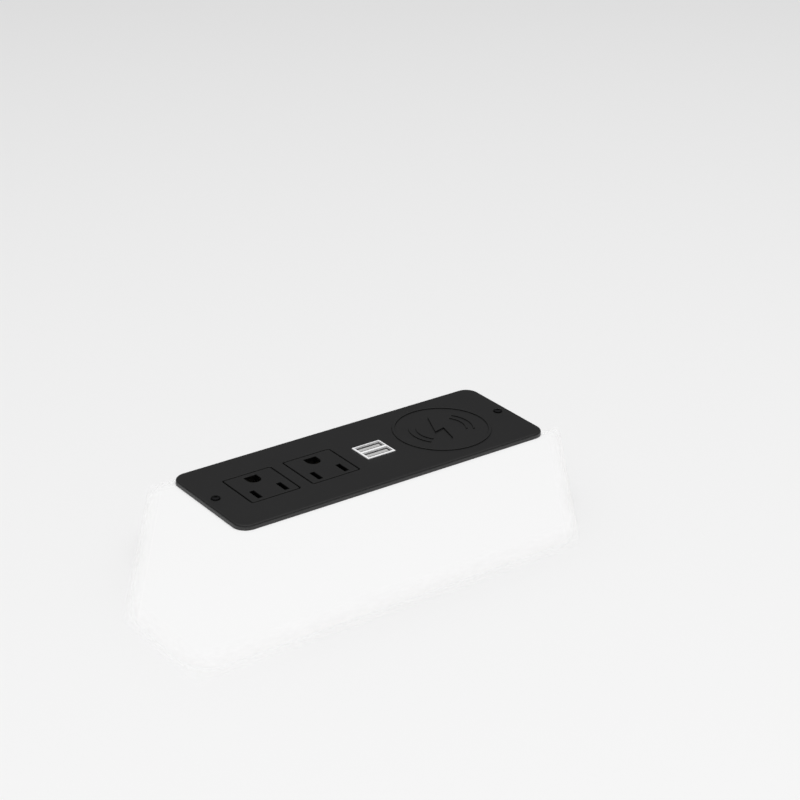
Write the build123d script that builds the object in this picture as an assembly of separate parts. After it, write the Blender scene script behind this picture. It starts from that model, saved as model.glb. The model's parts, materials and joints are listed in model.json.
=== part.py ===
from build123d import *
import os
from math import radians, tan

# A power strip let into a desk top, in millimetres.
# Origin: middle of the faceplate's underside, on the desk's top surface.
# +X runs along the plate towards the charging ring, +Y towards the earth holes, +Z up out of the desk.

# faceplate
plate_thickness = 2.2
plate_corner_r = 6.0
plate_edge_r = 0.9
end_flange = 11.1
side_flange = 4.25
edge_break = 0.15

# housing below the desk
body_depth = 38.0
body_wall = 2.0
body_floor = 2.0
body_corner_r = 5.0
body_edge_r = 1.0
inner_gap = 0.7
ring_end_gap = 0.95
rim_height = 0.5
rim_gap = 0.1

# desk screws
screw_inset = 5.1
desk_shank_r = 1.4
desk_shank_length = 14.0
desk_neck_r = 1.6
desk_neck_length = 0.4
desk_head_r = 2.05
desk_head_height = 0.85
desk_hole_gap = 0.1
recess_length = 2.4
recess_width = 0.55
recess_depth = 0.6

# housing screws, from below into bosses under the plate
boss_r = 3.0
pad_height = 4.0
case_screw_r = 1.4
case_screw_length = 10.0
case_head_r = 2.6
case_head_height = 1.6
counterbore_gap = 0.4
counterbore_depth = 3.5
thread_gap = 0.05
case_hole_gap = 0.2

# outlets
outlet_length = 22.8
outlet_width = 23.0
outlet_corner_r = 0.8
outlet_gap = 6.1
seam = 0.6
lip = 1.35
lip_thickness = 1.6
blade_spacing = 12.7
earth_offset = 11.9
slot_width = 2.2
slot_length = 7.1
earth_width = 6.1
earth_height = 6.2

# shutters behind the slots
shutter_travel = 2.8
shutter_thickness = 1.5
shutter_gap = 0.2
shutter_window = 2.6
shutter_margin = 1.1
shutter_stop_width = 1.2
shutter_stop_x = 1.0
shutter_spring_length = 6.2
spring_r = 0.6
spring_wire_r = 0.13
spring_turns = 7

# contacts and their blocks
block_depth = 15.5
support_post_r = 2.0
cavity_width = 4.6
cavity_length = 8.4
earth_cavity = 7.2
leaf_thickness = 0.5
leaf_width = 5.5
leaf_drop = 2.5
blade_grip = 1.3
earth_grip = 4.5
bus_thickness = 0.8
bus_width = 2.2
bus_gap = 0.8
bus_overhang = 2.8

# USB ports
usb_gap = 7.885
port_length = 12.4
port_width = 4.7
port_divider = 1.2
usb_rim_x = 0.75
usb_rim_y = 0.75
usb_proud = 0.3
usb_rim_thickness = 0.8
usb_lip = 0.95
usb_lip_thickness = 1.2
usb_fit = 0.05
shell_wall = 0.3
shell_depth = 13.0
tongue_length = 11.2
tongue_thickness = 1.8
tongue_offset = 0.7
tongue_drop = 0.7
usb_blade_pitch = 2.3
usb_blade_width = 1.0
usb_blade_thickness = 0.25

# charger board and what is soldered to it
board_length = 24.0
board_width = 38.0
board_thickness = 1.6
board_post_r = 2.0
board_pin_r = 0.9
board_post_inset = 2.0
pin_gap = 0.1
transformer_size = (14.0, 12.0, 11.5)
input_cap_r = 4.0
input_cap_height = 12.0
output_cap_r = 3.2
output_cap_height = 9.0
chip_size = (6.0, 5.0, 1.5)

# wireless charger
ring_gap = 7.065
ring_outer_r = 21.25
ring_inner_r = 19.95
ring_height = 0.5
ring_edge_r = 0.2
tray_r = 20.3
tray_wall = 1.2
tray_floor = 1.0
coil_gap = 0.4
coil_thickness = 1.4
coil_inner_r = 10.0
ferrite_thickness = 0.8
fit_gap = 0.3
coil_board_length = 24.0
coil_board_width = 22.0
tray_post_r = 2.5
tray_post_inset = 4.3
wave_radii = (10.7, 13.8)
wave_width = 0.8
wave_half_angle = 35.0
wave_height = 0.4
bolt_height = 0.7
bolt_middle = (-0.4, 0.5)
bolt_half = ((1.5, 11.1), (-4.25, -2.4), (1.05, -1.0))

# supply side
terminal_gap = 2.3
terminal_length = 12.0
terminal_width = 30.0
terminal_height = 11.0
terminal_pitch = 10.0
terminal_hole_r = 1.7
terminal_hole_depth = 4.5
terminal_screw_r = 1.9
terminal_screw_length = 3.4
lead_r = 1.1
lead_height = 5.0
gland_bore_r = 3.7
gland_barrel_r = 5.1
gland_flange_r = 6.5
gland_flange_thickness = 1.2
gland_collar_thickness = 2.0
gland_height = 12.0
gland_pad = 16.0
gland_pad_thickness = 3.0
gland_fit = 0.1

# sizes that follow
ring_reach = max(ring_outer_r, tray_r)
usb_frame_length = port_length + 2 * usb_rim_x
usb_frame_width = 2 * port_width + port_divider + 2 * usb_rim_y
block_length = outlet_length + 2 * lip
block_width = outlet_width + 2 * lip
inner_width = 2 * (tray_r + inner_gap)
body_width = inner_width + 2 * body_wall
plate_width = body_width + 2 * side_flange
outlet_pitch = outlet_length + outlet_gap
inner_length = inner_gap + ring_end_gap + block_length / 2 + outlet_pitch + outlet_length / 2
inner_length += usb_gap + usb_frame_length + ring_gap + 2 * ring_reach
body_length = inner_length + 2 * body_wall
plate_length = body_length + 2 * end_flange
screw_x = plate_length / 2 - screw_inset
left_outlet_x = -inner_length / 2 + inner_gap + block_length / 2
right_outlet_x = left_outlet_x + outlet_pitch
usb_x = right_outlet_x + outlet_length / 2 + usb_gap + usb_frame_length / 2
ring_x = usb_x + usb_frame_length / 2 + ring_gap + ring_reach
floor_z = body_floor - body_depth
pad_z = floor_z + pad_height
blade_y = -earth_offset / 2
earth_y = earth_offset / 2
block_top = -lip_thickness
pocket_z = block_top - shutter_thickness - 2 * shutter_gap
block_z = pocket_z - block_depth
board_top = -shell_depth
board_z = board_top - board_thickness
tray_z = -coil_gap - coil_thickness - ferrite_thickness - tray_floor
coil_board_z = tray_z - board_thickness
boss_x = inner_length / 2 - boss_r - inner_gap
boss_y = inner_width / 2 - boss_r - inner_gap
port_pitch = port_width + port_divider
terminal_x = ring_x - tray_post_r - terminal_gap - terminal_length / 2
lead_z = floor_z + lead_height
gland_z = floor_z + gland_height
tray_post_y = inner_width / 2 - tray_post_inset - inner_gap


def block(x, y, z, length, width, height):
    """A box on its base: x and y of its middle, z of its underside."""
    return Pos(x, y, z + height / 2) * Box(length, width, height)


def round_block(x, y, z, length, width, radius, height):
    """A box with rounded upright edges."""
    return extrude(Pos(x, y, z) * RectangleRounded(length, width, radius), height)


def post(x, y, z, radius, height):
    """An upright cylinder on its base."""
    return Pos(x, y, z + height / 2) * Cylinder(radius, height)


def both_ways(x, y):
    """The four corners at plus and minus x and y."""
    return [(sx * x, sy * y) for sx in (-1, 1) for sy in (-1, 1)]


def bolt_mark():
    """A lightning bolt: six corners, three of them turned half round into the other three."""
    corners = list(bolt_half) + [(-x, -y) for x, y in bolt_half]
    place = Pos(ring_x + bolt_middle[0], bolt_middle[1], plate_thickness)
    return extrude(place * Polygon(*corners, align=None), bolt_height)


def wave_mark(radius, facing):
    """A raised arc round the ring's middle, facing +X or -X."""
    band = Circle(radius + wave_width / 2) - Circle(radius - wave_width / 2)
    reach = 2 * radius
    spread = reach * tan(radians(wave_half_angle))
    far_corners = [(facing * reach, -facing * spread), (facing * reach, facing * spread)]
    sector = Polygon((0, 0), *far_corners, align=None)
    return extrude(Pos(ring_x, 0, plate_thickness) * (band & sector), wave_height)


def ring_mark():
    """The raised bead round the place where a phone lies."""
    ring = extrude(Circle(ring_outer_r) - Circle(ring_inner_r), ring_height)
    ring = fillet(ring.edges().group_by(Axis.Z)[-1], ring_edge_r)
    return Pos(ring_x, 0, plate_thickness) * ring


def opening_edges(plate):
    """The top edges of the plate's windows and screw holes, without its own outline."""
    top = plate.edges().filter_by_position(Axis.Z, plate_thickness, plate_thickness)
    outline_x = plate_length / 2 - 2 * plate_edge_r
    outline_y = plate_width / 2 - 2 * plate_edge_r
    return [edge for edge in top if abs(edge.center().X) < outline_x and abs(edge.center().Y) < outline_y]


def rim_band(gap):
    """The housing's rim where it stands up into the plate's underside, larger by a gap on both sides."""
    outer = (body_length + 2 * gap, body_width + 2 * gap, body_corner_r + gap)
    inner = (inner_length - 2 * gap, inner_width - 2 * gap, body_corner_r - body_wall - gap)
    return round_block(0, 0, 0, *outer, rim_height) - round_block(0, 0, 0, *inner, rim_height)


def make_face_plate():
    plate = round_block(0, 0, 0, plate_length, plate_width, plate_corner_r, plate_thickness)
    plate = fillet(plate.edges().group_by(Axis.Z)[-1], plate_edge_r)
    for x in (left_outlet_x, right_outlet_x):
        window = (outlet_length + seam, outlet_width + seam, outlet_corner_r + seam / 2)
        plate -= round_block(x, 0, 0, *window, plate_thickness)
    usb_window = (usb_frame_length + 2 * usb_fit, usb_frame_width + 2 * usb_fit)
    plate -= block(usb_x, 0, 0, *usb_window, plate_thickness)
    for x in (-screw_x, screw_x):
        plate -= post(x, 0, 0, desk_neck_r + desk_hole_gap, plate_thickness)
    plate = chamfer(opening_edges(plate), edge_break)
    plate -= rim_band(rim_gap)
    for x, y in both_ways(boss_x, boss_y):
        plate += post(x, y, pad_z, boss_r, -pad_z)
        plate -= post(x, y, pad_z, case_screw_r + thread_gap, case_screw_length)
    plate += ring_mark()
    plate += bolt_mark()
    for radius in wave_radii:
        for facing in (-1, 1):
            plate += wave_mark(radius, facing)
    return plate


def make_housing():
    case = round_block(0, 0, -body_depth, body_length, body_width, body_corner_r, body_depth)
    case = fillet(case.edges().group_by(Axis.Z)[0], body_edge_r)
    outer = case
    case -= round_block(0, 0, floor_z, inner_length, inner_width, body_corner_r - body_wall, -floor_z)
    case += corner_pads() & outer
    case += rim_band(0)
    for x, y in both_ways(boss_x, boss_y):
        case -= post(x, y, -body_depth, case_head_r + counterbore_gap, counterbore_depth)
        case -= post(x, y, -body_depth, case_screw_r + case_hole_gap, body_floor + pad_height)
    for x, y in support_places():
        case += post(x, y, floor_z, support_post_r, block_z - floor_z)
    for side in (-1, 1):
        case += post(ring_x, side * tray_post_y, floor_z, tray_post_r, tray_z - floor_z)
    for x, y in board_post_places():
        case += post(x, y, floor_z, board_post_r, board_z - floor_z)
        case += post(x, y, board_z, board_pin_r, 1.5 * board_thickness)
    pad_x = inner_length / 2 - gland_pad_thickness / 2
    case += block(pad_x, 0, gland_z - gland_pad / 2, gland_pad_thickness, gland_pad, gland_pad)
    end_x = body_length / 2
    case -= along_x(end_x - gland_flange_thickness, end_x, gland_flange_r + gland_fit)
    case -= along_x(end_x - body_wall - gland_pad_thickness, end_x, gland_barrel_r + gland_fit)
    return case


def corner_pads():
    """The blocks on the floor that the plate's bosses stand on."""
    side = 2 * (boss_r + inner_gap) + body_wall / 2
    pad_x = (inner_length + body_wall - side) / 2
    pad_y = (inner_width + body_wall - side) / 2
    pads = [block(x, y, floor_z, side, side, pad_height) for x, y in both_ways(pad_x, pad_y)]
    return pads[0] + pads[1] + pads[2] + pads[3]


def support_places():
    """Where posts on the floor hold up the outlet blocks."""
    y = block_width / 2 - support_post_r
    return [(x, side * y) for x in (left_outlet_x, right_outlet_x) for side in (-1, 1)]


def board_post_places():
    """Where posts on the floor hold up the charger board."""
    reach_x = board_length / 2 - board_post_inset
    reach_y = board_width / 2 - board_post_inset
    return [(usb_x + x, y) for x, y in both_ways(reach_x, reach_y)]


def along_x(start, end, radius):
    """A cylinder on the cord inlet's axis, from one x to another."""
    return Pos((start + end) / 2, 0, gland_z) * Rot(0, 90, 0) * Cylinder(radius, end - start)


def make_cable_gland():
    end_x = body_length / 2
    back_x = end_x - body_wall - gland_pad_thickness
    gland = along_x(end_x - gland_flange_thickness, end_x, gland_flange_r)
    gland += along_x(back_x - gland_collar_thickness, end_x, gland_barrel_r)
    gland += along_x(back_x - gland_collar_thickness, back_x, gland_flange_r)
    gland -= along_x(back_x - gland_collar_thickness, end_x, gland_bore_r)
    return gland


def cross_recess(x, y, top):
    """The cross cut into a screw's head, from its top down."""
    long_cut = block(x, y, top - recess_depth, recess_length, recess_width, recess_depth)
    return long_cut + block(x, y, top - recess_depth, recess_width, recess_length, recess_depth)


def make_desk_screws():
    screws = []
    for x in (-screw_x, screw_x):
        head = post(x, 0, plate_thickness, desk_head_r, desk_head_height)
        head = fillet(head.edges().group_by(Axis.Z)[-1], desk_head_height / 2)
        head -= cross_recess(x, 0, plate_thickness + desk_head_height)
        shank = post(x, 0, -desk_shank_length, desk_shank_r, desk_shank_length)
        shank = chamfer(shank.edges().group_by(Axis.Z)[0], desk_shank_r / 2)
        neck = post(x, 0, -desk_neck_length, desk_neck_r, plate_thickness + desk_neck_length)
        screws.append(head + neck + shank)
    return screws


def make_case_screws():
    screws = []
    head_z = counterbore_depth - body_depth
    for x, y in both_ways(boss_x, boss_y):
        screw = post(x, y, head_z - case_head_height, case_head_r, case_head_height)
        screw -= cross_recess(x, y, head_z - case_head_height + recess_depth)
        screws.append(screw + post(x, y, head_z, case_screw_r, case_screw_length))
    return screws


def earth_outline(x):
    """A D on its back: round towards the slots, flat on the far side."""
    radius = earth_width / 2
    low = earth_y - earth_height / 2 + radius
    high = earth_y + earth_height / 2
    square = Pos(x, (low + high) / 2) * Rectangle(2 * radius, high - low)
    return square + Pos(x, low) * Circle(radius)


def make_outlet_insert(x):
    face_r = outlet_corner_r - seam / 4
    insert = round_block(x, 0, 0, outlet_length - seam, outlet_width - seam, face_r, plate_thickness)
    insert += round_block(x, 0, block_top, block_length, block_width, lip, lip_thickness)
    for side in (-1, 1):
        slot = (slot_width, slot_length, plate_thickness + lip_thickness)
        insert -= block(x + side * blade_spacing / 2, blade_y, block_top, *slot)
    insert -= extrude(Pos(0, 0, block_top) * earth_outline(x), plate_thickness + lip_thickness)
    return chamfer(insert.edges().group_by(Axis.Z)[-1], edge_break)


def make_shutter(x):
    """Solid under both slots at rest; its windows come under them after its travel towards +X."""
    low = -blade_spacing / 2 - shutter_travel - shutter_window / 2 - shutter_margin
    high = blade_spacing / 2 + slot_width / 2 + shutter_margin
    width = slot_length + 2 * shutter_margin
    base_z = pocket_z + shutter_gap
    shutter = block(x + (low + high) / 2, blade_y, base_z, high - low, width, shutter_thickness)
    for side in (-1, 1):
        middle = x + side * blade_spacing / 2 - shutter_travel
        window = (shutter_window, slot_length + shutter_gap, shutter_thickness)
        shutter -= block(middle, blade_y, base_z, *window)
    notch_low = shutter_stop_x - shutter_stop_width / 2 - shutter_spring_length
    notch_high = shutter_stop_x + shutter_stop_width / 2
    notch_length = notch_high - notch_low
    notch_x = x + (notch_low + notch_high) / 2
    notch_width = 2 * (spring_r + spring_wire_r + shutter_gap)
    shutter -= block(notch_x, blade_y, base_z, notch_length, notch_width, shutter_thickness)
    return shutter


def make_shutter_spring(x):
    height = shutter_spring_length - 2 * spring_wire_r - 2 * pin_gap
    path = Helix(height / spring_turns, height, spring_r)
    start = path @ 0
    wire = sweep(Plane(start, z_dir=path % 0) * Circle(spring_wire_r), path)
    low = x + shutter_stop_x - shutter_stop_width / 2 - shutter_spring_length
    middle_z = pocket_z + shutter_gap + shutter_thickness / 2
    return Pos(low + spring_wire_r + pin_gap, blade_y, middle_z) * Rot(0, 90, 0) * wire


def make_outlet_block(x):
    base = block(x, 0, block_z, block_length, block_width, block_top - block_z)
    pocket_width = slot_length + 2 * shutter_margin + 2 * shutter_gap
    pocket_low = -blade_spacing / 2 - shutter_travel - shutter_window / 2 - shutter_margin - shutter_gap
    pocket_high = blade_spacing / 2 + slot_width / 2 + shutter_margin + shutter_travel + shutter_gap
    pocket_middle = x + (pocket_low + pocket_high) / 2
    pocket_height = block_top - pocket_z
    pocket_size = (pocket_high - pocket_low, pocket_width, pocket_height)
    base -= block(pocket_middle, blade_y, pocket_z, *pocket_size)
    stop_width = 2 * spring_r
    base += block(x + shutter_stop_x, blade_y, pocket_z, shutter_stop_width, stop_width, pocket_height)
    for side in (-1, 1):
        cavity = (cavity_width, cavity_length, block_depth)
        base -= block(x + side * blade_spacing / 2, blade_y, block_z, *cavity)
    base -= block(x, earth_y, block_z, earth_cavity, earth_cavity, block_top - block_z)
    return base


def clip(x, y, grip, width, tail_y):
    """Two leaves that grip a blade, with a narrow tail each down to the bus strip."""
    leaves = []
    top = pocket_z - leaf_drop
    low = block_z + bus_gap
    for side in (-1, 1):
        leaf_x = x + side * (grip + leaf_thickness) / 2
        leaf = block(leaf_x, y, low, leaf_thickness, width, top - low)
        leaf += block(leaf_x, tail_y, block_z, leaf_thickness, bus_width, bus_gap)
        leaves.append(leaf)
    return leaves[0] + leaves[1]


def make_contacts(offset_x, y, grip, width, tail_y):
    """One brass strip for both outlets: a clip under each and a bus strip below the blocks."""
    end_x = right_outlet_x + block_length / 2 + bus_overhang
    start_x = left_outlet_x + offset_x - grip / 2 - leaf_thickness
    middle = (start_x + end_x) / 2
    strip = block(middle, tail_y, block_z - bus_thickness, end_x - start_x, bus_width, bus_thickness)
    for x in (left_outlet_x, right_outlet_x):
        strip += clip(x + offset_x, y, grip, width, tail_y)
    return strip


def port_y(upper):
    return port_pitch / 2 if upper else -port_pitch / 2


def make_usb_bezel():
    frame_height = plate_thickness + usb_proud + usb_lip_thickness
    bezel = block(usb_x, 0, -usb_lip_thickness, usb_frame_length, usb_frame_width, frame_height)
    top_edges = bezel.edges().group_by(Axis.Z)[-1]
    bezel = fillet(top_edges, usb_proud)
    lip_size = (usb_frame_length + 2 * usb_lip, usb_frame_width + 2 * usb_lip, usb_lip_thickness)
    bezel += block(usb_x, 0, -usb_lip_thickness, *lip_size)
    sleeve = 2 * (shell_wall + usb_fit)
    sleeve_size = (port_length + sleeve, port_width + sleeve, frame_height - usb_rim_thickness)
    for upper in (False, True):
        y = port_y(upper)
        bezel -= block(usb_x, y, -usb_lip_thickness, port_length, port_width, frame_height)
        bezel -= block(usb_x, y, -usb_lip_thickness, *sleeve_size)
    return bezel


def shell_top():
    return plate_thickness + usb_proud - usb_rim_thickness - usb_fit


def make_usb_shell(upper):
    y = port_y(upper)
    height = shell_top() - board_top
    outer = (port_length + 2 * shell_wall, port_width + 2 * shell_wall, height)
    return block(usb_x, y, board_top, *outer) - block(usb_x, y, board_top, port_length, port_width, height)


def make_usb_tongue(upper):
    y = port_y(upper)
    height = plate_thickness - tongue_drop - board_top
    tongue = block(usb_x, y + tongue_offset, board_top, tongue_length, tongue_thickness, height)
    return tongue + block(usb_x, y, board_top, port_length, port_width, 2.0)


def make_usb_blades(upper):
    face_y = port_y(upper) + tongue_offset - tongue_thickness / 2 - usb_blade_thickness / 2
    low = board_top + 2.0
    high = plate_thickness - tongue_drop - 0.6
    blades = []
    for step in (-1.5, -0.5, 0.5, 1.5):
        x = usb_x + step * usb_blade_pitch
        blades.append(block(x, face_y, low, usb_blade_width, usb_blade_thickness, high - low))
    return blades


def make_charger_board():
    board = block(usb_x, 0, board_z, board_length, board_width, board_thickness)
    for x, y in board_post_places():
        board -= post(x, y, board_z, board_pin_r + pin_gap, board_thickness)
    return board


def hung_block(x, y, size):
    """A component under the charger board."""
    return block(x, y, board_z - size[2], *size)


def make_transformer():
    core = hung_block(usb_x + 4.0, 4.0, transformer_size)
    length, width, height = transformer_size
    winding = block(usb_x + 4.0, 4.0, board_z - height * 0.8, length + 1.5, width * 0.7, height * 0.6)
    return core + winding


def make_input_capacitor():
    can = post(usb_x - 4.5, -10.5, board_z - input_cap_height, input_cap_r, input_cap_height)
    return fillet(can.edges().group_by(Axis.Z)[0], 0.6)


def make_output_capacitor():
    can = post(usb_x + 6.0, -10.0, board_z - output_cap_height, output_cap_r, output_cap_height)
    return fillet(can.edges().group_by(Axis.Z)[0], 0.6)


def make_controller_chip():
    return hung_block(usb_x - 7.5, 10.0, chip_size)


def disc(z, radius, height):
    return post(ring_x, 0, z, radius, height)


def make_coil_tray():
    tray = disc(tray_z, tray_r, -tray_z)
    return tray - disc(tray_z + tray_floor, tray_r - tray_wall, -tray_z - tray_floor)


def make_ferrite_sheet():
    return disc(tray_z + tray_floor, tray_r - tray_wall - fit_gap, ferrite_thickness)


def make_charging_coil():
    coil_z = tray_z + tray_floor + ferrite_thickness
    coil = disc(coil_z, tray_r - tray_wall - 2 * fit_gap, coil_thickness)
    return coil - disc(coil_z, coil_inner_r, coil_thickness)


def make_coil_board():
    return block(ring_x, 0, coil_board_z, coil_board_length, coil_board_width, board_thickness)


def make_coil_chips():
    chips = []
    for x, y in ((-6.0, -4.0), (3.0, 3.0), (7.0, -6.0)):
        chips.append(block(ring_x + x, y, coil_board_z - 1.2, 5.0, 5.0, 1.2))
    return chips


def terminal_places():
    return (-terminal_pitch, 0, terminal_pitch)


def make_terminal_block():
    body = block(terminal_x, 0, floor_z, terminal_length, terminal_width, terminal_height)
    for y in terminal_places():
        for side in (-1, 1):
            middle = terminal_x + side * (terminal_length - terminal_hole_depth) / 2
            hole = Rot(0, 90, 0) * Cylinder(terminal_hole_r, terminal_hole_depth)
            body -= Pos(middle, y, lead_z) * hole
        depth = terminal_screw_length
        body -= post(terminal_x, y, floor_z + terminal_height - depth, terminal_screw_r + pin_gap, depth)
    return body


def make_terminal_screws():
    screws = []
    for y in terminal_places():
        top = floor_z + terminal_height
        screw = post(terminal_x, y, top - terminal_screw_length, terminal_screw_r, terminal_screw_length)
        slot = (2 * terminal_screw_r, recess_width, recess_depth)
        screws.append(screw - block(terminal_x, y, top - recess_depth, *slot))
    return screws


def corner_radii(points):
    """For each corner, the largest arc that its two runs leave room for."""
    radii = []
    for before, corner, after in zip(points, points[1:], points[2:]):
        run_in = Vector(*corner) - Vector(*before)
        run_out = Vector(*after) - Vector(*corner)
        half_turn = radians(run_in.get_angle(run_out)) / 2
        radii.append(0.45 * min(run_in.length, run_out.length) / tan(half_turn))
    return radii


def make_lead(terminal_y, strip_y):
    """A wire from the terminal block along the floor and up to the end of a bus strip."""
    start_x = terminal_x - terminal_length / 2 + terminal_hole_depth
    end_x = right_outlet_x + block_length / 2 + bus_overhang - lead_r
    points = [
        (start_x, terminal_y, lead_z),
        (start_x - 0.45 * (start_x - end_x), terminal_y, lead_z),
        (end_x, strip_y, lead_z),
        (end_x, strip_y, block_z - bus_thickness),
    ]
    radii = corner_radii(points)
    path = FilletPolyline(*points, radius=radii)
    print("lead radii", [round(r, 1) for r in radii], "length", round(path.length, 1))
    return sweep(Plane(path @ 0, z_dir=path % 0) * Circle(lead_r), path)


line_strip_y = blade_y - leaf_width / 2 + bus_width / 2
neutral_strip_y = blade_y + leaf_width / 2 - bus_width / 2
line_contacts = make_contacts(blade_spacing / 2, blade_y, blade_grip, leaf_width, line_strip_y)
neutral_contacts = make_contacts(-blade_spacing / 2, blade_y, blade_grip, leaf_width, neutral_strip_y)

nodes = {
    "face_plate": make_face_plate(),
    "housing": make_housing(),
    "desk_screws": Compound(make_desk_screws()),
    "housing_screws": Compound(make_case_screws()),
    "cable_gland": make_cable_gland(),
    "line_contacts": line_contacts,
    "neutral_contacts": neutral_contacts,
    "earth_contacts": make_contacts(0, earth_y, earth_grip, leaf_width, earth_y),
    "usb_bezel": make_usb_bezel(),
    "charger_board": make_charger_board(),
    "transformer": make_transformer(),
    "input_capacitor": make_input_capacitor(),
    "output_capacitor": make_output_capacitor(),
    "controller_chip": make_controller_chip(),
    "coil_tray": make_coil_tray(),
    "ferrite_sheet": make_ferrite_sheet(),
    "charging_coil": make_charging_coil(),
    "coil_board": make_coil_board(),
    "coil_chips": Compound(make_coil_chips()),
    "terminal_block": make_terminal_block(),
    "terminal_screws": Compound(make_terminal_screws()),
    "line_lead": make_lead(-terminal_pitch, line_strip_y),
    "neutral_lead": make_lead(0, neutral_strip_y),
    "earth_lead": make_lead(terminal_pitch, earth_y),
}
for side, x in (("left", left_outlet_x), ("right", right_outlet_x)):
    nodes["outlet_insert_" + side] = make_outlet_insert(x)
    nodes["outlet_block_" + side] = make_outlet_block(x)
    nodes["shutter_" + side] = make_shutter(x)
    nodes["shutter_spring_" + side] = make_shutter_spring(x)
for level, upper in (("upper", True), ("lower", False)):
    nodes["usb_shell_" + level] = make_usb_shell(upper)
    nodes["usb_tongue_" + level] = make_usb_tongue(upper)
    nodes["usb_blades_" + level] = Compound(make_usb_blades(upper))

os.makedirs("parts", exist_ok=True)
for name, shape in nodes.items():
    export_step(shape, f"parts/{name}.step")
print(f"plate {plate_length:.1f} x {plate_width:.1f}, housing {body_length:.1f} x {body_width:.1f}")
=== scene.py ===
# %% [markdown]
# # A power strip let into a desk top
#
# The strip is a long black faceplate over a box of electrics. The frame that is loaded here already holds
# every rigid part at its real size, in metres, so this lesson gives each part its finish, models the
# pieces that want finer shapes than a CAD solid has, and sets up a small studio round it.

# %% Load the frame
import bpy
import json
import math
from mathutils import Matrix, Vector


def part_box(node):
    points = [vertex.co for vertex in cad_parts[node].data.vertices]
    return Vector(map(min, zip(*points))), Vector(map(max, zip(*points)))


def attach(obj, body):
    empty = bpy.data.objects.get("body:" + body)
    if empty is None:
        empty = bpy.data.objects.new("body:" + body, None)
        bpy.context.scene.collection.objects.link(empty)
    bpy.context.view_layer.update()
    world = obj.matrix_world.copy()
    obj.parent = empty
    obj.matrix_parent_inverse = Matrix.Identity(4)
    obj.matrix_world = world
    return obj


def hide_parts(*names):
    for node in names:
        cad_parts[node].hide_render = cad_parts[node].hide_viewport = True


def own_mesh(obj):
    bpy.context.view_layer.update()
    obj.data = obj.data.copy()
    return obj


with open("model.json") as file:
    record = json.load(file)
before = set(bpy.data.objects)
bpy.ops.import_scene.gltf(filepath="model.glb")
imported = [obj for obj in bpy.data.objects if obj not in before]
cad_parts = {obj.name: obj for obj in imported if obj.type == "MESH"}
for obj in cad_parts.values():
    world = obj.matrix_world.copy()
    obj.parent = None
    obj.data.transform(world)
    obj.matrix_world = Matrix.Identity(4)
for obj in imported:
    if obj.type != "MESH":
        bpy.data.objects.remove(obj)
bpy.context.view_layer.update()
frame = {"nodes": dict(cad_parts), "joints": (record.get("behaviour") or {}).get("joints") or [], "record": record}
nodes = frame["nodes"]
mm = 0.001

# %% [markdown]
# ## Camera
#
# A small object seen from a standing person's height is best shown with a long lens from about a metre
# away: it keeps the plate's edges nearly parallel. The camera is placed from the middle of the plate's
# top face and turned by its bearing, its tilt and a trace of roll, so that each of the three can be set
# on its own.

# %% Camera
plate_low, plate_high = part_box("face_plate")
insert_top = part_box("outlet_insert_left")[1].z
plate_middle = Vector(((plate_low.x + plate_high.x) / 2, (plate_low.y + plate_high.y) / 2, insert_top))
camera_offset = Vector((-0.4585, -0.6662, 0.4))
camera_bearing = math.radians(35.631)
camera_tilt = math.radians(24.919)
camera_roll = math.radians(0.243)


def add_camera():
    data = bpy.data.cameras.new("camera")
    data.lens = 97.77
    data.sensor_width = 36.0
    data.clip_start = 0.01
    camera = bpy.data.objects.new("camera", data)
    bpy.context.scene.collection.objects.link(camera)
    turn = Matrix.Rotation(-camera_bearing, 4, "Z")
    turn = turn @ Matrix.Rotation(math.pi / 2 - camera_tilt, 4, "X")
    turn = turn @ Matrix.Rotation(camera_roll, 4, "Z")
    camera.matrix_world = Matrix.Translation(plate_middle + camera_offset) @ turn
    return camera


bpy.context.scene.camera = add_camera()
print("camera", [round(v, 3) for v in bpy.context.scene.camera.location])

# %% [markdown]
# ## Studio
#
# Black plastic shows whatever it mirrors, so the light comes mostly from a wide soft panel overhead and
# the sky is dim near the horizon. The camera itself sees a white sky, which gives a clean backdrop. The
# strip stands on a pale floor on its housing. A sheet thinner than a millimetre lies under the near and
# left edges of its plate in place of the desk top, so that the plate has something to cast its contact
# shadow on. The sheet casts none itself and throws no light on the floor below, which would glow through
# the sheet's faded border. It is left out behind and to the right, where the housing can be seen.

# %% World
sky_stops = [(0.0, 0.06), (0.5, 0.066), (0.8, 0.54), (1.0, 0.72)]


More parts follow.
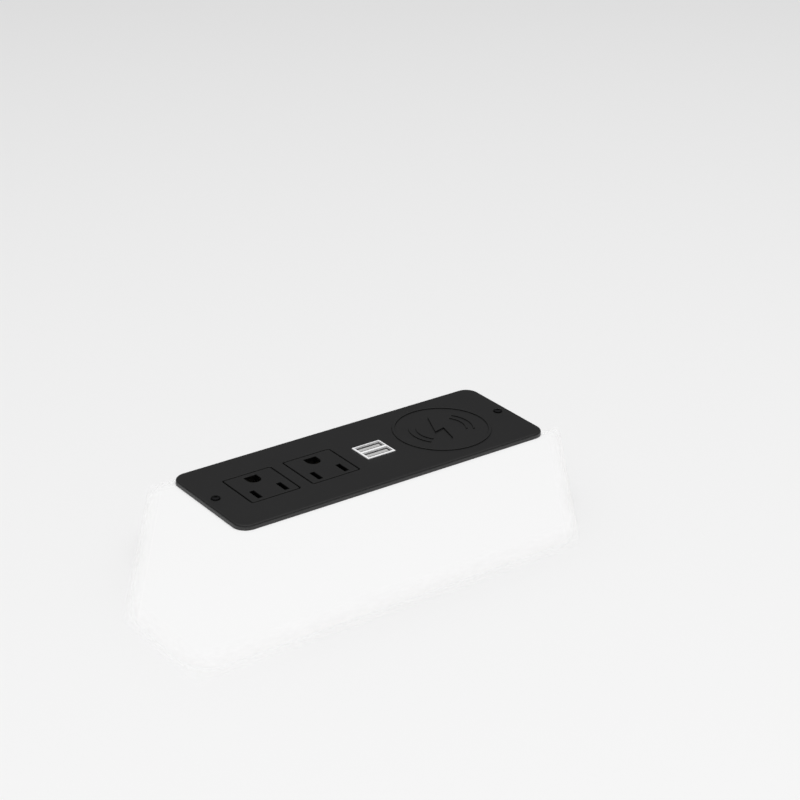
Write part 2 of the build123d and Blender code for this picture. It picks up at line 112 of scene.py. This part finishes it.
def set_world():
    world = bpy.data.worlds.new("studio")
    bpy.context.scene.world = world
    world.use_nodes = True
    tree = world.node_tree
    tree.nodes.clear()
    place = tree.nodes.new("ShaderNodeTexCoord")
    split = tree.nodes.new("ShaderNodeSeparateXYZ")
    ramp = tree.nodes.new("ShaderNodeValToRGB")
    ray = tree.nodes.new("ShaderNodeLightPath")
    sky = tree.nodes.new("ShaderNodeBackground")
    seen = tree.nodes.new("ShaderNodeBackground")
    mix = tree.nodes.new("ShaderNodeMixShader")
    out = tree.nodes.new("ShaderNodeOutputWorld")
    ramp.color_ramp.elements[0].position = sky_stops[0][0]
    ramp.color_ramp.elements[1].position = sky_stops[-1][0]
    for position, _ in sky_stops[1:-1]:
        ramp.color_ramp.elements.new(position)
    for element, (_, level) in zip(ramp.color_ramp.elements, sky_stops):
        element.color = (level, level, level, 1.0)
    tree.links.new(place.outputs["Generated"], split.inputs[0])
    tree.links.new(split.outputs["Z"], ramp.inputs["Fac"])
    tree.links.new(ramp.outputs["Color"], sky.inputs["Color"])
    seen.inputs["Color"].default_value = (1.0, 1.0, 1.0, 1.0)
    tree.links.new(ray.outputs["Is Camera Ray"], mix.inputs["Fac"])
    tree.links.new(sky.outputs[0], mix.inputs[1])
    tree.links.new(seen.outputs[0], mix.inputs[2])
    tree.links.new(mix.outputs[0], out.inputs["Surface"])
    bpy.context.scene.view_settings.view_transform = "Standard"


set_world()
print("sky", sky_stops)

# %% Light
def add_panel(name, place, target, size, watts):
    data = bpy.data.lights.new(name, "AREA")
    data.shape = "DISK"
    data.size = size
    data.energy = watts
    lamp = bpy.data.objects.new(name, data)
    bpy.context.scene.collection.objects.link(lamp)
    lamp.location = place
    lamp.rotation_euler = (Vector(target) - Vector(place)).to_track_quat("-Z", "Y").to_euler()
    lamp.visible_glossy = False
    return lamp


add_panel("overhead_panel", (-0.3, -0.7, 2.5), plate_middle, 3.0, 64.0)

# %% Shader helpers
class Socket:
    """A node's output or a number, so that shader maths reads as plain expressions."""

    def __init__(self, finish, value):
        self.finish = finish
        self.value = value

    def maths(self, operation, *others):
        values = [self] + list(others)
        return self.finish.node("Math", {"operation": operation}, dict(enumerate(values)))

    def __add__(self, other):
        return self.maths("ADD", other)

    def __radd__(self, other):
        return self.maths("ADD", other)

    def __sub__(self, other):
        return self.maths("SUBTRACT", other)

    def __rsub__(self, other):
        return Socket(self.finish, other).maths("SUBTRACT", self)

    def __mul__(self, other):
        return self.maths("MULTIPLY", other)

    def __rmul__(self, other):
        return self.maths("MULTIPLY", other)

    def between(self, low, high):
        """0 below low, 1 above high, and a straight slope from one to the other."""
        settings = {"clamp": True}
        return self.finish.node("MapRange", settings, {"Value": self, "From Min": low, "From Max": high})


class Finish:
    """One material: a Principled shader with methods that add and wire other nodes."""

    def __init__(self, name, colour, roughness, metallic=0.0, **constants):
        self.material = bpy.data.materials.new(name)
        self.material.use_nodes = True
        self.tree = self.material.node_tree
        self.shader = self.tree.nodes["Principled BSDF"]
        self.set("Base Color", (*colour, 1.0))
        self.set("Roughness", roughness)
        self.set("Metallic", metallic)
        for socket, value in constants.items():
            self.set(socket.replace("_", " "), value)
        self.material.diffuse_color = (*colour, 1.0)
        self.place = self.node("TexCoord", output="Object")

    def wire(self, socket, value):
        if isinstance(value, Socket):
            value = value.value
        if isinstance(value, bpy.types.NodeSocket):
            self.tree.links.new(value, socket)
        else:
            socket.default_value = value

    def set(self, socket, value):
        self.wire(self.shader.inputs[socket], value)

    def node(self, kind, settings=None, inputs=None, output=0):
        """Adds a node: its settings first, then the values or links of its sockets."""
        made = self.tree.nodes.new("ShaderNode" + kind)
        for name, value in (settings or {}).items():
            setattr(made, name, value)
        for name, value in (inputs or {}).items():
            self.wire(made.inputs[name], value)
        return Socket(self, made.outputs[output])

    def noise(self, grain, detail=3.0, stretch=(1.0, 1.0, 1.0)):
        """Smooth noise from 0 to 1 whose lumps are about one grain wide, in metres."""
        scaled = self.node("Mapping", None, {"Vector": self.place, "Scale": stretch})
        settings = {"noise_dimensions": "3D"}
        return self.node("TexNoise", settings, {"Vector": scaled, "Scale": 1.0 / grain, "Detail": detail})

    def tint(self, amount, dark, light):
        """Base colour between two colours."""
        settings = {"data_type": "RGBA", "blend_type": "MIX"}
        inputs = {0: amount, 6: (*dark, 1.0), 7: (*light, 1.0)}
        self.set("Base Color", self.node("Mix", settings, inputs, output=2))

    def paint_shade_below(self, low, high, left=0.06):
        """Painted shade: fades the base colour to a small share of itself from one height down to another."""
        height = self.node("SeparateXYZ", None, {0: self.place}, output="Z")
        lit = height.between(low, high)
        base = self.shader.inputs["Base Color"].links[0].from_socket
        settings = {"data_type": "RGBA", "blend_type": "MULTIPLY"}
        level = left + (1 - left) * lit
        grey = self.node("CombineColor", None, {name: level for name in ("Red", "Green", "Blue")})
        self.set("Base Color", self.node("Mix", settings, {0: 1.0, 6: base, 7: grey}, output=2))

    def bump(self, height, depth):
        """Raises the surface by height times depth, in metres."""
        inputs = {"Height": height, "Distance": depth, "Strength": 1.0}
        self.set("Normal", self.node("Bump", None, inputs))


def shade(colour, factor):
    return tuple(min(1.0, channel * factor) for channel in colour)


# %% [markdown]
# ## Finishes
#
# The plate and the outlet faces are moulded in black plastic with a fine spark-eroded grain. The grain
# could be modelled, but at a few hundredths of a millimetre it only shows as a soft sheen, so noise
# drives a small bump and a small change of gloss. The outlet faces alone carry a painted shade: their
# colour darkens to near black a little below their top, standing in for the shade in the slots and the
# fine gaps round them.

# %% Moulded plastics
def moulded(name, colour, roughness, grain=0.35 * mm, depth=0.012 * mm, gloss=0.3, spread=0.12, painted_shade_heights=None):
    """Injection-moulded plastic: spark-eroded grain, faint mottling and slightly uneven gloss.

    The last argument, when given, holds the heights of a painted shade: where the colour starts and ends its
    change from near black to full.
    """
    finish = Finish(name, colour, roughness, Specular_IOR_Level=gloss)
    fine = finish.noise(grain, detail=4.0)
    broad = finish.noise(14 * mm, detail=2.0)
    finish.tint(0.6 * fine + 0.4 * broad, shade(colour, 1 - spread), shade(colour, 1 + spread))
    # Painted shade: the colour darkens to near black below the given heights.
    if painted_shade_heights:
        finish.paint_shade_below(*painted_shade_heights)
    finish.set("Roughness", roughness - 0.05 + 0.1 * broad)
    finish.bump(fine, depth)
    return finish.material


# %% [markdown]
# Metal parts are drawn, stamped or turned, and each leaves fine lines. Stretched noise gives the lines,
# and a broader noise gives the soft stains that handling leaves. Every metal here is fully metallic. The
# pale frame round the USB ports looks like metal at a glance, but it is brighter than bare metal would be
# in this light, so it is made as a satin grey moulding, one of the plastics.

# %% Metals
def metal(name, colour, roughness, grain=0.08 * mm, depth=0.003 * mm):
    """Sheet or turned metal: fine drawn lines along Z and soft stains."""
    finish = Finish(name, colour, roughness, metallic=1.0)
    lines = finish.noise(grain, detail=2.0, stretch=(1.0, 1.0, 0.08))
    stain = finish.noise(5 * mm, detail=3.0)
    finish.tint(stain, shade(colour, 0.88), shade(colour, 1.06))
    finish.set("Roughness", roughness - 0.08 + 0.1 * lines + 0.06 * stain)
    finish.bump(lines, depth)
    return finish.material


plate_top = insert_top
# Painted shade: the outlet faces' colour darkens to near black from just below their top downwards, in place of
# the shade in slots and gaps.
painted_slot_shade = (plate_top - 0.7 * mm, plate_top - 0.15 * mm)

finishes = {
    "black_plastic": moulded("black_plastic", (0.0098, 0.0098, 0.01), 0.46, gloss=0.7),
    # The outlet faces carry the painted slot shade.
    "insert_plastic": moulded("insert_plastic", (0.0095, 0.0095, 0.0097), 0.45, gloss=0.7, painted_shade_heights=painted_slot_shade),
    "case_plastic": moulded("case_plastic", (0.022, 0.022, 0.023), 0.6, grain=0.6 * mm, depth=0.03 * mm),
    "shutter_plastic": moulded("shutter_plastic", (0.0015, 0.0015, 0.0015), 0.8, gloss=0.04),
    "block_plastic": moulded("block_plastic", (0.62, 0.6, 0.55), 0.5),
    "tray_plastic": moulded("tray_plastic", (0.05, 0.05, 0.055), 0.5),
    "terminal_plastic": moulded("terminal_plastic", (0.7, 0.7, 0.66), 0.45),
    "tongue_plastic": moulded("tongue_plastic", (0.47, 0.47, 0.465), 0.45, gloss=0.4, spread=0.04),
    "gland_nylon": moulded("gland_nylon", (0.015, 0.015, 0.015), 0.42, gloss=0.5),
    "component_black": moulded("component_black", (0.02, 0.02, 0.02), 0.55),
    "ferrite": moulded("ferrite", (0.035, 0.033, 0.032), 0.65, grain=0.2 * mm),
    "can_sleeve": moulded("can_sleeve", (0.02, 0.03, 0.09), 0.3, gloss=0.5, depth=0.002 * mm),
    "transformer_tape": moulded("transformer_tape", (0.75, 0.55, 0.06), 0.3, gloss=0.5, depth=0.002 * mm),
    "board": moulded("board", (0.01, 0.11, 0.035), 0.3, gloss=0.5, depth=0.004 * mm),
    "lead_black": moulded("lead_black", (0.015, 0.015, 0.015), 0.4, gloss=0.5),
    "lead_white": moulded("lead_white", (0.75, 0.75, 0.74), 0.4, gloss=0.5, spread=0.04),
    "lead_green": moulded("lead_green", (0.02, 0.22, 0.05), 0.4, gloss=0.5),
    "black_screw": metal("black_screw", (0.03, 0.03, 0.032), 0.42),
    "zinc_screw": metal("zinc_screw", (0.62, 0.62, 0.6), 0.35),
    "spring_steel": metal("spring_steel", (0.6, 0.6, 0.62), 0.3),
    "contact_brass": metal("contact_brass", (0.75, 0.52, 0.2), 0.32),
    "usb_rim": moulded("usb_rim", (0.93, 0.93, 0.935), 0.4, depth=0.002 * mm, gloss=0.5, spread=0.03),
    "usb_steel": metal("usb_steel", (0.84, 0.84, 0.85), 0.5, depth=0.001 * mm),
    "blade_gold": metal("blade_gold", (0.9, 0.62, 0.2), 0.25),
    "copper": metal("copper", (0.72, 0.3, 0.13), 0.35, grain=0.4 * mm),
}
print("finishes", len(finishes))

# %% Give every node its finish
def dress(thing, slot):
    thing.data.materials.clear()
    thing.data.materials.append(finishes[slot])


for part in frame["record"]["subparts"]:
    dress(nodes[part["node"]], part["material_slot"])

# %% [markdown]
# ## Modelling helpers
#
# Each new piece starts as a primitive at its real size and place and is shaped by the operators that a
# person would use in the viewport. Operators act on whatever is selected, so a piece is picked alone
# first, and faces are picked in code by where they are or which way they face.

# %% Modelling helpers
def pick_alone(piece):
    bpy.ops.object.select_all(action="DESELECT")
    piece.select_set(True)
    bpy.context.view_layer.objects.active = piece


def pick_faces(piece, wanted):
    """Selects the faces, in edit mode, whose centre and normal pass a test."""
    bpy.ops.mesh.select_mode(type="FACE")
    bpy.ops.mesh.select_all(action="DESELECT")
    bpy.ops.object.mode_set(mode="OBJECT")
    for face in piece.data.polygons:
        face.select = bool(wanted(piece.matrix_world @ face.center, face.normal))
    bpy.ops.object.mode_set(mode="EDIT")


def start_piece(name):
    """Names the primitive that was just added and puts its place into its mesh."""
    piece = bpy.context.object
    piece.name = name
    bpy.ops.object.transform_apply(location=True, rotation=True, scale=True)
    return piece


def add_rod(name, place, radius, length, sides=48, turn=(0.0, 0.0, 0.0)):
    bpy.ops.object.select_all(action="DESELECT")
    size = {"vertices": sides, "radius": radius, "depth": length}
    bpy.ops.mesh.primitive_cylinder_add(location=place, rotation=turn, **size)
    return start_piece(name)


def add_bar(name, place, size):
    bpy.ops.object.select_all(action="DESELECT")
    bpy.ops.mesh.primitive_cube_add(size=1.0, location=place, scale=size)
    return start_piece(name)


def apply_modifier(piece, kind, **settings):
    pick_alone(piece)
    modifier = piece.modifiers.new(kind.lower(), kind)
    for name, value in settings.items():
        setattr(modifier, name, value)
    bpy.ops.object.modifier_apply(modifier=modifier.name)


def cut_away(piece, cutter):
    apply_modifier(piece, "BOOLEAN", operation="DIFFERENCE", object=cutter, solver="EXACT")
    bpy.data.objects.remove(cutter)


def join_pieces(name, pieces):
    bpy.ops.object.select_all(action="DESELECT")
    for piece in pieces:
        piece.select_set(True)
    bpy.context.view_layer.objects.active = pieces[0]
    if len(pieces) > 1:
        bpy.ops.object.join()
    pieces[0].name = name
    return pieces[0]


def finish_piece(piece, slot, replaced=(), smooth=35.0):
    """Merges doubles, turns the faces outwards, shades and dresses a piece, and rides it on the strip."""
    pick_alone(piece)
    bpy.ops.object.mode_set(mode="EDIT")
    bpy.ops.mesh.select_all(action="SELECT")
    bpy.ops.mesh.remove_doubles(threshold=0.001 * mm)
    bpy.ops.mesh.normals_make_consistent(inside=False)
    bpy.ops.object.mode_set(mode="OBJECT")
    bpy.ops.object.shade_smooth_by_angle(angle=math.radians(smooth))
    dress(piece, slot)
    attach(piece, "strip")
    if replaced:
        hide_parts(*replaced)
    print(piece.name, len(piece.data.polygons), "faces")


# %% [markdown]
# ## Screws
#
# A pan-head wood screw is upset from wire: the head is domed, the driver's cross narrows towards its
# bottom, and the thread is rolled on to the shank. The head is a rod whose top is inset and lifted three
# times, the cross is cut with a tapered cross, and the thread is one three-sided outline that the Screw
# modifier winds up the core.

# %% Screws
def tapered_cross(place, reach, width, depth, up):
    """A cutter whose two bars narrow towards the bottom of the recess."""
    bottom_share = 0.45
    bars = []
    for length, breadth in ((reach, width), (width, reach)):
        bar = add_bar("cutter", place, (length, breadth, 2 * depth))
        bpy.ops.object.mode_set(mode="EDIT")
        pick_faces(bar, lambda centre, normal: normal.z * up < -0.9)
        bpy.ops.transform.resize(value=(bottom_share, bottom_share, 1.0), center_override=place)
        bpy.ops.object.mode_set(mode="OBJECT")
        bars.append(bar)
    apply_modifier(bars[0], "BOOLEAN", operation="UNION", object=bars[1], solver="EXACT")
    bpy.data.objects.remove(bars[1])
    return bars[0]


def add_head(place, radius, height, up, steps=((0.12, 0.62), (0.3, 0.3), (0.3, 0.08))):
    """A domed head on its bearing face: each step insets the top by a share of the radius and lifts it."""
    base_share = 1 - sum(lift for _, lift in steps)
    side = max(base_share * height, 0.02 * height)
    head = add_rod("head", place + Vector((0, 0, up * side / 2)), radius, side)
    bpy.ops.object.mode_set(mode="EDIT")
    pick_faces(head, lambda centre, normal: normal.z * up > 0.9)
    lift_total = sum(lift for _, lift in steps)
    for inset, lift in steps:
        bpy.ops.mesh.inset(thickness=inset * radius)
        rise = lift / lift_total * (height - side)
        bpy.ops.transform.translate(value=(0, 0, up * rise))
    bpy.ops.object.mode_set(mode="OBJECT")
    return head


def add_thread(low, high, x, y, core_r, outer_r, pitch):
    """A three-sided ridge, rooted just inside a core and wound up it from low to high."""
    root_r = 0.96 * core_r
    tooth_height = 0.7 * pitch
    turns = int((high - low - tooth_height) / pitch)
    middle = low + tooth_height / 2
    bpy.ops.object.select_all(action="DESELECT")
    bpy.ops.mesh.primitive_circle_add(vertices=3, radius=0.5, fill_type="NOTHING")
    tooth = bpy.context.object
    corners = ((root_r, -tooth_height / 2), (root_r, tooth_height / 2), (outer_r, 0.0))
    for vertex, (out, rise) in zip(tooth.data.vertices, corners):
        vertex.co = (out, 0, middle + rise)
    apply_modifier(
        tooth, "SCREW", axis="Z", angle=2 * math.pi, screw_offset=pitch, iterations=turns,
        steps=32, render_steps=32, use_merge_vertices=False)
    bpy.ops.object.mode_set(mode="EDIT")
    bpy.ops.mesh.select_all(action="DESELECT")
    bpy.ops.mesh.select_mode(type="EDGE")
    bpy.ops.mesh.select_non_manifold()
    bpy.ops.mesh.edge_face_add()
    bpy.ops.mesh.select_all(action="SELECT")
    bpy.ops.transform.translate(value=(x, y, 0))
    bpy.ops.object.mode_set(mode="OBJECT")
    return tooth


def draw_point(core, tip, length, share=0.12):
    """Draws the lower end of a core out to a blunt point."""
    bpy.ops.object.mode_set(mode="EDIT")
    pick_faces(core, lambda centre, normal: normal.z < -0.9)
    bpy.ops.mesh.extrude_region_move(TRANSFORM_OT_translate={"value": (0, 0, -length)})
    bpy.ops.transform.resize(value=(share, share, 1.0), center_override=tip)
    bpy.ops.object.mode_set(mode="OBJECT")


def make_desk_screws():
    low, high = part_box("desk_screws")
    head_r = (high.y - low.y) / 2
    head_height = high.z - plate_top
    recess_depth = 0.62 * mm
    neck_r, core_r, thread_r, pitch = 1.6 * mm, 1.0 * mm, 1.38 * mm, 1.15 * mm
    neck_drop, point_length = 0.4 * mm, 2 * mm
    thread_inset, thread_start = 1.2 * mm, 0.6 * mm
    core_low = low.z + point_length
    parts = []
    for x in (low.x + head_r, high.x - head_r):
        seat = Vector((x, 0, plate_top))
        head = add_head(seat, head_r, head_height, up=1)
        top = Vector((x, 0, high.z))
        cut_away(head, tapered_cross(top, 1.1 * head_r, 0.27 * head_r, recess_depth, up=1))
        neck = add_rod("neck", (x, 0, (plate_top - neck_drop) / 2), neck_r, plate_top + neck_drop, 40)
        core = add_rod("core", (x, 0, (core_low - neck_drop) / 2), core_r, -core_low - neck_drop, 32)
        draw_point(core, (x, 0, low.z), point_length)
        ridge = add_thread(low.z + thread_inset, -thread_start, x, 0, core_r, thread_r, pitch)
        parts += [head, neck, core, ridge]
    finish_piece(join_pieces("wood_screws", parts), "black_screw", ["desk_screws"])


make_desk_screws()

# %% Housing screws
def make_housing_screws():
    low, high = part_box("housing_screws")
    head_r, head_height, recess_depth = 2.6 * mm, 1.6 * mm, 0.9 * mm
    core_r, thread_r, pitch = 1.05 * mm, 1.4 * mm, 1.25 * mm
    thread_start, thread_inset = 0.6 * mm, 0.2 * mm
    seat_z = low.z + head_height
    length = high.z - seat_z
    parts = []
    for x in (low.x + head_r, high.x - head_r):
        for y in (low.y + head_r, high.y - head_r):
            head = add_head(Vector((x, y, seat_z)), head_r, head_height, up=-1)
            bottom = Vector((x, y, low.z))
            cut_away(head, tapered_cross(bottom, 1.1 * head_r, 0.27 * head_r, recess_depth, up=-1))
            core = add_rod("core", (x, y, seat_z + length / 2), core_r, length, 32)
            ridge = add_thread(seat_z + thread_start, high.z - thread_inset, x, y, core_r, thread_r, pitch)
            parts += [head, core, ridge]
    finish_piece(join_pieces("case_screws", parts), "zinc_screw", ["housing_screws"])


make_housing_screws()

# %% [markdown]
# ## Springs in the USB ports
#
# A port's shell grips the plug with small leaves cut from its own sheet, two on each long wall. The shell
# is a plain folded box and stays as it is. A leaf is a thin bar that is divided along its height, and its
# middle is pushed towards the plug so that it bows.

# %% Springs in the USB ports
def make_port_leaf(x, wall_y, top_z, inward):
    width, height, sheet, bow = 2.2 * mm, 5.0 * mm, 0.16 * mm, 0.36 * mm
    middle = Vector((x, wall_y + inward * sheet / 2, top_z - height / 2))
    leaf = add_bar("leaf", middle, (width, sheet, height))
    bpy.ops.object.mode_set(mode="EDIT")
    bpy.ops.mesh.select_all(action="SELECT")
    bpy.ops.mesh.subdivide(number_cuts=7)
    bpy.ops.object.mode_set(mode="OBJECT")
    for vertex in leaf.data.vertices:
        along = (vertex.co.z - (top_z - height)) / height
        vertex.co.y += inward * bow * math.sin(math.pi * along)
    return leaf


def make_port_leaves(level):
    low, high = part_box("usb_shell_" + level)
    wall, leaf_offset, leaf_depth = 0.3 * mm, 3.0 * mm, 1.4 * mm
    middle_x = (low.x + high.x) / 2
    leaves = []
    for inward, wall_y in ((1, low.y + wall), (-1, high.y - wall)):
        for side in (-1, 1):
            leaf_x = middle_x + side * leaf_offset
            leaves.append(make_port_leaf(leaf_x, wall_y, high.z - leaf_depth, inward))
    finish_piece(join_pieces("port_leaves_" + level, leaves), "usb_steel")


for level in ("upper", "lower"):
    make_port_leaves(level)

# %% [markdown]
# ## Shutter springs
#
# Each shutter is pushed shut by a small coil spring that sits in its notch, between the notch's end and a
# stop on the block. As a plug slides the shutter open the notch's end comes closer to the stop and the
# spring gets shorter. A circle wound by the Screw modifier gives the coil.

# %% Shutter springs
def make_shutter_spring(side):
    node = "shutter_spring_" + side
    low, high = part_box(node)
    joint = next(j for j in frame["joints"] if j["name"] == "shutter_slide_" + side)
    travel = joint["range_m"][1]
    wire_r, turns, end_gap = 0.13 * mm, 7, 0.1 * mm
    coil_r = (high.y - low.y) / 2 - wire_r
    middle = (low + high) / 2
    pitch = (high.x - low.x - 2 * wire_r) / turns
    bpy.ops.object.select_all(action="DESELECT")
    bpy.ops.mesh.primitive_circle_add(
        vertices=10, radius=wire_r, fill_type="NOTHING",
        location=(coil_r, 0, 0), rotation=(math.pi / 2, 0, 0))
    spring = start_piece("closing_spring_" + side)
    apply_modifier(
        spring, "SCREW", axis="Z", angle=2 * math.pi, screw_offset=pitch, iterations=turns,
        steps=24, render_steps=24, use_merge_vertices=False)
    bpy.ops.object.mode_set(mode="EDIT")
    bpy.ops.mesh.select_mode(type="EDGE")
    bpy.ops.mesh.select_all(action="DESELECT")
    bpy.ops.mesh.select_non_manifold()
    bpy.ops.mesh.edge_face_add()
    bpy.ops.object.mode_set(mode="OBJECT")
    spring.rotation_euler = (0, math.pi / 2, 0)
    spring.location = (low.x + wire_r, middle.y, middle.z)
    bpy.ops.object.transform_apply(location=True, rotation=True, scale=True)
    finish_piece(spring, "spring_steel", [node])
    room = high.x - low.x + 2 * end_gap
    1 - travel / room
    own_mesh(spring)


for side in ("left", "right"):
    make_shutter_spring(side)

# %% [markdown]
# ## Charging coil
#
# The coil is enamelled wire wound flat in a spiral. A spiral curve could be bevelled, but here the Screw
# modifier cannot grow its radius, so each turn is a ring of its own with a slight gap to the next, in two
# layers, as a close winding looks.

# %% Charging coil
def make_charging_coil():
    low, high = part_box("charging_coil")
    middle_x, middle_y = (low.x + high.x) / 2, (low.y + high.y) / 2
    wire_r = (high.z - low.z) / 4
    inner_r, outer_r = 10.0 * mm, (high.x - low.x) / 2
    pitch = 2.05 * wire_r
    turns = int((outer_r - inner_r) / pitch)
    rings = []
    for layer in (0, 1):
        z = low.z + (2 * layer + 1) * wire_r
        for turn in range(turns):
            bpy.ops.object.select_all(action="DESELECT")
            bpy.ops.mesh.primitive_torus_add(
                location=(middle_x, middle_y, z), major_radius=inner_r + wire_r + turn * pitch,
                minor_radius=0.97 * wire_r, major_segments=96, minor_segments=10)
            rings.append(start_piece("turn"))
    finish_piece(join_pieces("coil_winding", rings), "copper", ["charging_coil"])


make_charging_coil()

# %% [markdown]
# ## Capacitors
#
# A can capacitor is an aluminium cup crimped on to a rubber plug and shrunk into a sleeve: a waist near
# its foot and a scored vent on its top show that. It could be turned in one Screw, but a rod whose end
# face is extruded and resized step by step keeps each of those features a value of its own.

# %% Capacitors
def make_can(name, node):
    """A can that hangs from the board: its vent faces down and its crimped waist is near the board."""
    low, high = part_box(node)
    radius, height = (high.x - low.x) / 2, high.z - low.z
    middle = Vector(((low.x + high.x) / 2, (low.y + high.y) / 2, 0))
    foot = 0.12 * height
    crimp, sleeve, rim = (0.04, 0.9), (0.76, 1.0), (0.04, 0.93)
    flare = (crimp[0], 1 / crimp[1])
    can = add_rod(name, (middle.x, middle.y, high.z - foot / 2), radius, foot, 56)
    bpy.ops.object.mode_set(mode="EDIT")
    pick_faces(can, lambda centre, normal: normal.z < -0.9)
    for lift, share in (crimp, flare, sleeve, rim):
        bpy.ops.mesh.extrude_region_move(TRANSFORM_OT_translate={"value": (0, 0, -lift * height)})
        bpy.ops.transform.resize(value=(share, share, 1.0), center_override=(middle.x, middle.y, 0))
    bpy.ops.mesh.inset(thickness=0.12 * radius)
    bpy.ops.transform.translate(value=(0, 0, 0.02 * height))
    bpy.ops.object.mode_set(mode="OBJECT")
    vent = Vector((middle.x, middle.y, low.z))
    cut_away(can, tapered_cross(vent, 1.1 * radius, 0.08 * radius, 0.3 * mm, up=-1))
    finish_piece(can, "can_sleeve", [node])


make_can("input_can", "input_capacitor")
make_can("output_can", "output_capacitor")

# %% Stage
def add_slab(name, outline, low, high, material):
    """A flat stage piece from its outline's corners."""
    count = len(outline)
    points = [(x, y, z) for z in (low, high) for x, y in outline]
    faces = [tuple(reversed(range(count))), tuple(range(count, 2 * count))]
    for i in range(count):
        j = (i + 1) % count
        faces.append((i, j, count + j, count + i))
    mesh = bpy.data.meshes.new(name)
    mesh.from_pydata(points, [], faces)
    slab = bpy.data.objects.new(name, mesh)
    bpy.context.scene.collection.objects.link(slab)
    mesh.materials.append(material)
    return slab


def make_stage():
    """The floor, and a sheet in place of the desk top that covers only what would show below the plate."""
    case_low, case_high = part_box("housing")
    gap, margin, sheet_thickness = 0.5 * mm, 10 * mm, 0.1 * mm
    reach_share = 1.3 * (plate_top - case_low.z) / camera_offset.z
    slide = Vector((camera_offset.x, camera_offset.y)) * reach_share
    left, near = case_low.x - gap, case_low.y - gap
    far = plate_high.y + 1 * mm
    right_end = Vector((plate_high.x + margin, near))
    left_near = Vector((plate_low.x - margin, near))
    left_far = Vector((plate_low.x - margin, far))
    outer = [right_end, right_end + slide, left_near + slide, left_far + slide, left_far]
    sheet_white = Finish("sheet_white", (0.875, 0.875, 0.875), 0.9, Specular_IOR_Level=0.05)
    x = sheet_white.node("SeparateXYZ", None, {0: sheet_white.place}, output="X")
    y = sheet_white.node("SeparateXYZ", None, {0: sheet_white.place}, output="Y")
    across = x - (slide.x / slide.y) * y
    right_edge = right_end.x - slide.x / slide.y * right_end.y
    left_edge = left_far.x - slide.x / slide.y * left_far.y
    soft, border = 7 * mm, 0.2
    shown = y.between(near + slide.y, near + (1 - border) * slide.y)
    shown = shown * x.between(left_near.x + slide.x, left_near.x + (1 - border) * slide.x)
    shown = shown * (1 - across.between(right_edge - soft, right_edge))
    shown = shown * across.between(left_edge, left_edge + soft)
    shown = shown * (1 - y.between(far - soft, far))
    past_end = x.between(plate_high.x - 2 * mm, plate_high.x - 1 * mm)
    shown = shown * (1 - past_end * y.between(plate_low.y, near))
    sheet_white.set("Alpha", shown)
    outline = [tuple(corner) for corner in outer] + [(left, far), (left, near)]
    sheet = add_slab("desk_sheet", outline, -sheet_thickness, 0.0, sheet_white.material)
    sheet.visible_shadow = False
    sheet.visible_diffuse = False
    floor_white = Finish("floor_white", (0.865, 0.865, 0.865), 0.9, Specular_IOR_Level=0.05).material
    reach, floor_thickness = 6.0, 10 * mm
    corners = [(-reach, -reach), (reach, -reach), (reach, reach), (-reach, reach)]
    add_slab("floor", corners, case_low.z - floor_thickness, case_low.z, floor_white)


make_stage()
